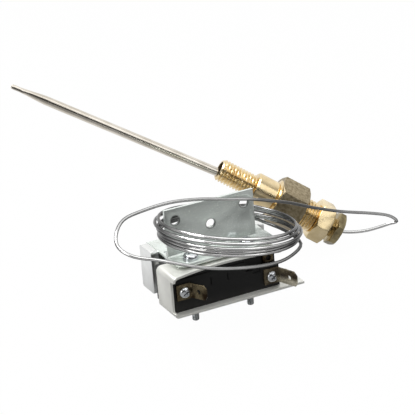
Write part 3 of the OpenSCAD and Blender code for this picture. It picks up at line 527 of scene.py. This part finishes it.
def on_body(piece, material, slot, angle, *nodes):
    bpy.ops.object.select_all(action="DESELECT")
    bpy.context.view_layer.objects.active = piece
    piece.select_set(True)
    bpy.ops.object.shade_smooth_by_angle(angle=math.radians(angle))
    piece.data.materials.clear()
    piece.data.materials.append(material)
    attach(piece, "body")
    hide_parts(*nodes)


def a_copy(piece, name):
    copy = bpy.data.objects.new(name, piece.data.copy())
    bpy.context.collection.objects.link(copy)
    return copy


face_out = Matrix.Rotation(math.pi / 2, 4, "X")
left_screw = pan_head("left_terminal_screw", 0.0048, 0.0019, 0.0034, 0.006)
right_screw = a_copy(left_screw, "right_terminal_screw")
for screw, spot in ((left_screw, (5.75, 2.5, 9.6)), (right_screw, (45.3, 2.5, 6))):
    screw.data.transform(Matrix.Translation((Vector(spot) - mount_corner) / 1000) @ face_out)
    on_body(screw, screw_zinc, "screw_steel", 30, "terminal_screws")
dull_zinc = worked_metal("dull_zinc", (0.80, 0.82, 0.83), (0.52, 0.54, 0.55), 0.28, patch=420, grain=2500)
first_head = pan_head("left_clamp_screw", 0.0064, 0.0023, 0.003, 0.02)
first_end = threaded("left_clamp_thread", 0.003, 0.008, pitch=0.0005, sides=32)
second_head, second_end = a_copy(first_head, "right_clamp_screw"), a_copy(first_end, "right_clamp_thread")
for head, end, x in ((first_head, first_end, 13.3), (second_head, second_end, 38.7)):
    head.data.transform(Matrix.Translation((Vector((x, 10.4, 19.8)) - mount_corner) / 1000))
    end.data.transform(Matrix.Translation((Vector((x, 10.4, -7.8)) - mount_corner) / 1000))
    on_body(head, screw_zinc, "screw_steel", 30, "clamp_screws")
    on_body(end, dull_zinc, "screw_steel", 20, "clamp_screws")


# Return spring. Plated steel wire wound in a short coil, standing between the block and the lever. The
# lever presses it shorter as it swings about its pin; here the coil keeps its rest shape and rides on the body.
bpy.ops.object.select_all(action="DESELECT")
return_coil = bpy.data.objects.new("return_coil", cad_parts["return_spring"].data.copy())
bpy.context.collection.objects.link(return_coil)
bpy.context.view_layer.objects.active = return_coil
return_coil.select_set(True)
bpy.ops.object.mode_set(mode="EDIT")
bpy.ops.mesh.select_all(action="SELECT")
bpy.ops.mesh.remove_doubles(threshold=0.000002)
bpy.ops.object.mode_set(mode="OBJECT")
on_body(return_coil, screw_zinc, "spring_steel", 40, "return_spring")
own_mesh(return_coil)


# Lever works behind the block: lever, its pin, the adjusting screw, button and plunger.
softened("lever", "trip_lever", 0.0001, channel_steel, body="lever")
finish_node("lever_pin", screw_zinc)
finish_node("calibration_screw", screw_zinc)
red_moulding = moulded("red_moulding", (0.40, 0.06, 0.05), (0.30, 0.04, 0.04), 0.4)
finish_node("plunger", red_moulding)
white_moulding = moulded("white_moulding", (0.80, 0.78, 0.72), (0.70, 0.68, 0.62), 0.5)
finish_node("thrust_button", white_moulding)
contact_silver = worked_metal("contact_silver", (0.88, 0.88, 0.86), (0.78, 0.78, 0.76), 0.15)
finish_node("fixed_contacts", contact_silver)
finish_node("moving_contact", contact_silver)
finish_node("snap_blade", terminal_brass)
bright_steel = worked_metal("bright_steel", (0.78, 0.77, 0.74), (0.66, 0.65, 0.62), 0.22)
finish_node("diaphragm", bright_steel)
finish_node("element_body", bright_steel)


# Nipple and rear thread of the fitting. Cut on a lathe in brass bar: a helical thread of 1.5 mm pitch
# with both ends chamfered, and a wide bore for the probe in the front end.
fitting_front = (Vector((59.7, 75.2, 27.5)) - mount_corner) / 1000
fitting_pitch, fitting_yaw = math.radians(34), math.radians(-23)
def on_fitting(piece, station, roll=0):
    """Puts a piece modelled along +Z from the origin on the fitting's axis, with its place in its mesh."""
    turn = Matrix.Rotation(fitting_yaw, 4, "Z") @ Matrix.Rotation(math.pi / 2 + fitting_pitch, 4, "Y")
    place = Matrix.Translation(fitting_front) @ turn @ Matrix.Translation((0, 0, station))
    piece.data.transform(place @ Matrix.Rotation(math.radians(roll), 4, "Z"))
    piece.data.update()


fitting_brass = worked_metal("fitting_brass", (0.90, 0.74, 0.46), (0.76, 0.59, 0.33), 0.2, patch=180, grain=1600)
nipple = threaded("nipple_thread", 0.0104, 0.0176, 0.0073, 0.017)
on_fitting(nipple, 0)
on_body(nipple, fitting_brass, "fitting_brass", 25, "fitting_body")
rear_thread = threaded("rear_thread", 0.0138, 0.012, 0.008, 0.002)
on_fitting(rear_thread, 0.042)
on_body(rear_thread, fitting_brass, "fitting_brass", 25, "fitting_body")


# Collar of the fitting. Turned smooth between the nipple and the hexagon, with a chamfered front edge
# and a short cone up to the hexagon.
collar = turned(
    "collar",
    [(0.0048, 0), (0.0064, 0), (0.007, 0.0006), (0.007, 0.0098), (0.0068, 0.01), (0.0064, 0.0101), (0.0088, 0.0111)],
)
on_fitting(collar, 0.0175)
on_body(collar, fitting_brass, "fitting_brass", 25, "fitting_body")


# Hexagons of the fitting. The body's keeps the dull sandy skin of the drawn bar and has no marks on it,
# and the union nut and the gland screw are milled bright; the nut's brass is painted a little lighter, as a
# painted highlight, and the gland's much darker, as painted shade. Their corners are turned down at both ends.
def hexagon(name, flats, length, chamfer, station, roll, material, node):
    corner = flats / math.sqrt(3)
    bpy.ops.object.select_all(action="DESELECT")
    bpy.ops.mesh.primitive_cylinder_add(vertices=6, radius=corner, depth=length, location=(0, 0, length / 2))
    piece = bpy.context.object
    piece.name = name
    piece.data.transform(Matrix.Rotation(math.radians(-90), 4, "Z"))
    bpy.ops.object.transform_apply(location=True)
    low = corner - chamfer
    barrel = turned(
        "barrel", [(low, 0), (corner * 1.002, chamfer * 0.62), (corner * 1.002, length - chamfer * 0.62), (low, length)], 96
    )
    shave = piece.modifiers.new("shave", "BOOLEAN")
    shave.operation, shave.object, shave.solver = "INTERSECT", barrel, "EXACT"
    bpy.ops.object.select_all(action="DESELECT")
    bpy.context.view_layer.objects.active = piece
    piece.select_set(True)
    bpy.ops.object.modifier_apply(modifier="shave")
    bpy.data.objects.remove(barrel)
    rim = piece.modifiers.new("rim", "BEVEL")
    rim.width, rim.segments, rim.limit_method, rim.angle_limit = 0.00018, 2, "ANGLE", math.radians(24)
    bpy.ops.object.modifier_apply(modifier="rim")
    on_fitting(piece, station, roll)
    on_body(piece, material, "fitting_brass", 20, node)
    return piece


bar_skin = worked_metal("bar_skin", (0.44, 0.37, 0.245), (0.25, 0.20, 0.12), 0.36, patch=900, grain=3200, relief=0.6,
                        spread=0.12)
hexagon("body_hexagon", 0.0192, 0.0135, 0.0014, 0.0285, -9.5, bar_skin, "fitting_body")
# Painted highlight: milled brass made a little lighter than the fitting's own.
nut_brass_painted_highlight = worked_metal("nut_brass_painted_highlight", (0.95, 0.79, 0.50), (0.82, 0.66, 0.38), 0.24, patch=240, grain=1800)
hexagon("nut_hexagon", 0.0172, 0.0073, 0.0014, 0.049, 29, nut_brass_painted_highlight, "union_nut")
# Painted shade: the same milled brass made about half as light.
gland_brass_painted_shade = worked_metal("gland_brass_painted_shade", (0.47, 0.40, 0.23), (0.26, 0.21, 0.115), 0.22, patch=260, grain=1800)
hexagon("gland_hexagon", 0.0142, 0.0035, 0.0010, 0.059, 2.5, gland_brass_painted_shade, "gland_screw")
gland_neck = turned("gland_neck", [(0.004, 0), (0.0045, 0.0004), (0.0045, 0.0044), (0.0042, 0.0052)])
on_fitting(gland_neck, 0.0542)
on_body(gland_neck, fitting_brass, "fitting_brass", 25, "gland_screw")
finish_node("element_nut", fitting_brass)
packing_black = moulded("packing_black", (0.03, 0.03, 0.03), (0.015, 0.015, 0.015), 0.6)
finish_node("packing_ring", packing_black)


# Probe. Drawn stainless tube, 4 mm across, its end swaged down and pinched flat over the last few
# millimetres, where the filling was sealed. Heat has tinted it a little brown.
probe_lean, probe_turn = math.radians(4.6), 148
probe = turned(
    "probe",
    [
        (0.0006, -0.1185), (0.00092, -0.1181), (0.0010, -0.1165), (0.00094, -0.1146), (0.00105, -0.1131),
        (0.00122, -0.1120), (0.00146, -0.1090), (0.00167, -0.1065), (0.00184, -0.1045), (0.00196, -0.1028),
        (0.0020, -0.1010), (0.0020, -0.090), (0.0020, -0.060), (0.0020, -0.030), (0.0020, 0.012), (0.0009, 0.014),
    ],
    48,
)
for vertex in probe.data.vertices:
    if vertex.co.z < -0.1128:
        vertex.co.x *= 1.12
        vertex.co.y *= 0.62
probe.data.transform(Matrix.Rotation(probe_lean, 4, "Y"))
on_fitting(probe, 0.019, probe_turn)
probe_steel = worked_metal("probe_steel", (0.80, 0.75, 0.67), (0.64, 0.59, 0.51), 0.18, patch=120, grain=1500)
on_body(probe, probe_steel, "probe_steel", 30, "probe_bulb")


# Studio. A pale floor, a large soft lamp above and behind, weaker ones at the left, overhead in front and
# at the right, and a surround that is white behind the part, falls off towards the camera and has a dark
# flag at the left.
floor_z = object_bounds()[0].z - 0.0005
bpy.ops.object.select_all(action="DESELECT")
bpy.ops.mesh.primitive_plane_add(size=6, location=(0, 0, floor_z))
floor = bpy.context.object
floor.name = "floor"
floor_paint = bpy.data.materials.new("floor_paint")
floor_paint.use_nodes = True
nodes, links = floor_paint.node_tree.nodes, floor_paint.node_tree.links
nodes["Principled BSDF"].inputs["Base Color"].default_value = (0.26, 0.26, 0.26, 1)
nodes["Principled BSDF"].inputs["Roughness"].default_value = 0.8
glow = nodes.new("ShaderNodeEmission")
glow.inputs["Strength"].default_value = 1.025
path = nodes.new("ShaderNodeLightPath")
share = nodes.new("ShaderNodeMath")
share.operation = "MULTIPLY"
share.inputs[1].default_value = 0.96
seen = nodes.new("ShaderNodeMath")
seen.operation, seen.use_clamp = "ADD", True
spot = nodes.new("ShaderNodeTexCoord")
spot_axes = nodes.new("ShaderNodeSeparateXYZ")
links.new(spot.outputs["Object"], spot_axes.inputs["Vector"])
behind = nodes.new("ShaderNodeMapRange")
behind.interpolation_type = "SMOOTHSTEP"
behind.inputs["From Min"].default_value, behind.inputs["From Max"].default_value = -0.01, 0.1
behind.inputs["To Max"].default_value = 0.8
links.new(spot_axes.outputs["Y"], behind.inputs["Value"])
bounced = nodes.new("ShaderNodeMath")
bounced.operation = "ADD"
links.new(path.outputs["Is Glossy Ray"], bounced.inputs[0])
links.new(path.outputs["Is Transmission Ray"], bounced.inputs[1])
mirrored = nodes.new("ShaderNodeMath")
mirrored.operation = "MULTIPLY"
links.new(bounced.outputs[0], mirrored.inputs[0])
links.new(behind.outputs["Result"], mirrored.inputs[1])
blend = nodes.new("ShaderNodeMixShader")
links.new(path.outputs["Is Camera Ray"], seen.inputs[0])
links.new(mirrored.outputs[0], seen.inputs[1])
links.new(seen.outputs[0], share.inputs[0])
links.new(share.outputs[0], blend.inputs["Fac"])
links.new(nodes["Principled BSDF"].outputs["BSDF"], blend.inputs[1])
links.new(glow.outputs["Emission"], blend.inputs[2])
links.new(blend.outputs["Shader"], nodes["Material Output"].inputs["Surface"])
floor.data.materials.append(floor_paint)

surround = bpy.data.worlds.new("surround")
bpy.context.scene.world = surround
surround.use_nodes = True
nodes, links = surround.node_tree.nodes, surround.node_tree.links
soft = nodes["Background"]
heading = nodes.new("ShaderNodeTexCoord")
split = nodes.new("ShaderNodeVectorMath")
split.operation = "DOT_PRODUCT"
split.inputs[1].default_value = (0.149, 0.747, 0.648)
links.new(heading.outputs["Generated"], split.inputs[0])
shade = nodes.new("ShaderNodeMapRange")
shade.interpolation_type = "SMOOTHSTEP"
shade.inputs["From Min"].default_value = -0.4
shade.inputs["From Max"].default_value = 0.68
shade.inputs["To Min"].default_value = 0.06
shade.inputs["To Max"].default_value = 1.0
links.new(split.outputs["Value"], shade.inputs["Value"])
flag_side = nodes.new("ShaderNodeVectorMath")
flag_side.operation = "DOT_PRODUCT"
flag_side.inputs[1].default_value = (-0.83, 0.42, 0.37)
links.new(heading.outputs["Generated"], flag_side.inputs[0])
flag = nodes.new("ShaderNodeMapRange")
flag.interpolation_type = "SMOOTHSTEP"
flag.inputs["From Min"].default_value, flag.inputs["From Max"].default_value = 0.62, 0.9
flag.inputs["To Min"].default_value, flag.inputs["To Max"].default_value = 1.0, 0.12
links.new(flag_side.outputs["Value"], flag.inputs["Value"])
flagged = nodes.new("ShaderNodeMath")
flagged.operation = "MULTIPLY"
links.new(shade.outputs["Result"], flagged.inputs[0])
links.new(flag.outputs["Result"], flagged.inputs[1])
links.new(flagged.outputs[0], soft.inputs["Color"])
soft.inputs["Strength"].default_value = 0.9
white = nodes.new("ShaderNodeBackground")
white.inputs["Strength"].default_value = 1.0
white.inputs["Color"].default_value = (1, 1, 1, 1)
path = nodes.new("ShaderNodeLightPath")
mirrored = nodes.new("ShaderNodeMath")
mirrored.operation = "ADD"
links.new(path.outputs["Is Glossy Ray"], mirrored.inputs[0])
links.new(path.outputs["Is Transmission Ray"], mirrored.inputs[1])
behind = nodes.new("ShaderNodeMapRange")
behind.interpolation_type = "SMOOTHSTEP"
behind.inputs["From Min"].default_value, behind.inputs["From Max"].default_value = 0.3, 0.7
links.new(split.outputs["Value"], behind.inputs["Value"])
backed = nodes.new("ShaderNodeMath")
backed.operation = "MULTIPLY"
bare = nodes.new("ShaderNodeMath")
bare.operation = "MULTIPLY"
links.new(behind.outputs["Result"], bare.inputs[0])
links.new(flag.outputs["Result"], bare.inputs[1])
links.new(mirrored.outputs[0], backed.inputs[0])
links.new(bare.outputs[0], backed.inputs[1])
seen = nodes.new("ShaderNodeMath")
seen.operation, seen.use_clamp = "ADD", True
links.new(path.outputs["Is Camera Ray"], seen.inputs[0])
links.new(backed.outputs[0], seen.inputs[1])
pick = nodes.new("ShaderNodeMixShader")
links.new(seen.outputs[0], pick.inputs["Fac"])
links.new(soft.outputs["Background"], pick.inputs[1])
links.new(white.outputs["Background"], pick.inputs[2])
links.new(pick.outputs["Shader"], nodes["World Output"].inputs["Surface"])


def soft_lamp(name, place, aim, size, power):
    data = bpy.data.lights.new(name, "AREA")
    data.shape = "RECTANGLE"
    data.size, data.size_y = size
    data.energy = power
    lamp = bpy.data.objects.new(name, data)
    bpy.context.collection.objects.link(lamp)
    lamp.location = place
    lamp.rotation_mode = "QUATERNION"
    lamp.rotation_quaternion = (Vector(aim) - Vector(place)).to_track_quat("-Z", "Y")


soft_lamp("key", (-0.25, 0.25, 0.75), (0.02, 0, 0), (0.5, 0.35), 4.7)
soft_lamp("fill", (-0.8, -0.2, 0.3), (0, 0, 0), (0.4, 0.5), 1.4)
soft_lamp("overhead", (0.05, -0.34, 0.6), (0.02, 0, 0), (0.8, 0.36), 0.9)
soft_lamp("side", (0.31, -0.64, 0.37), (0.07, 0.03, -0.02), (0.45, 0.45), 0.75)
